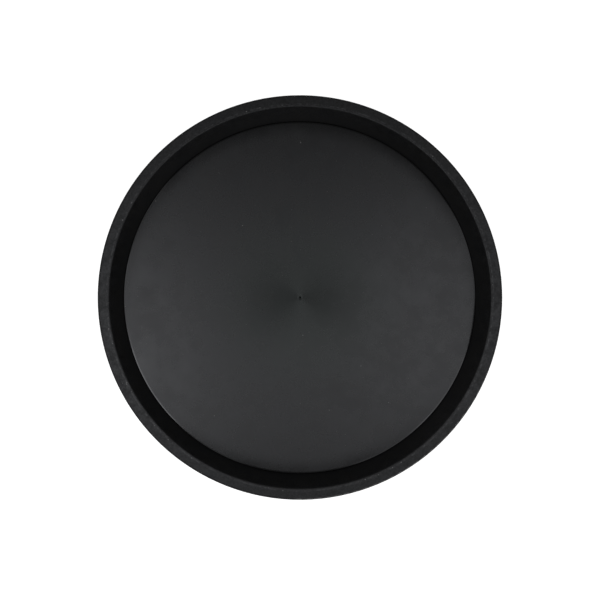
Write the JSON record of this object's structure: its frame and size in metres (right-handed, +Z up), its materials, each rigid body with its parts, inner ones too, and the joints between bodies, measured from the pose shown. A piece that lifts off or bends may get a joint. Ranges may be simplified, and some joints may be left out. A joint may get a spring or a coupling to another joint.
{
  "type": "serving tray",
  "caption": "Round serving tray with a flat lip, a leaning side wall, a loose non-slip mat in the well and a soft foot ring below.",
  "frame": {"origin": "centre of the tray on the plane it rests on", "axes": "+Z up along the tray's axis, out of the well; the tray is round, so X and Y are arbitrary in the resting plane"},
  "size_m": [0.355, 0.355, 0.026],
  "materials": {
    "shell_plastic": "black moulded plastic with a fine spark-eroded grain",
    "mat_rubber": "satin black moulded elastomer with faint flow marks from its central gate",
    "foot_rubber": "matt black elastomer",
    "hoop_steel": "drawn steel wire"
  },
  "bodies": {
    "tray": {"tray_shell": "shell_plastic", "rim_hoop": "hoop_steel", "rim_closing_ring": "shell_plastic", "foot_ring": "foot_rubber"},
    "mat": {"non_slip_mat": "mat_rubber"}
  },
  "joints": [
    {"name": "mat_lift", "type": "slide", "parent": "tray", "child": "mat", "axis": [0, 0, 1], "range_m": [0, 0.06]}
  ]
}
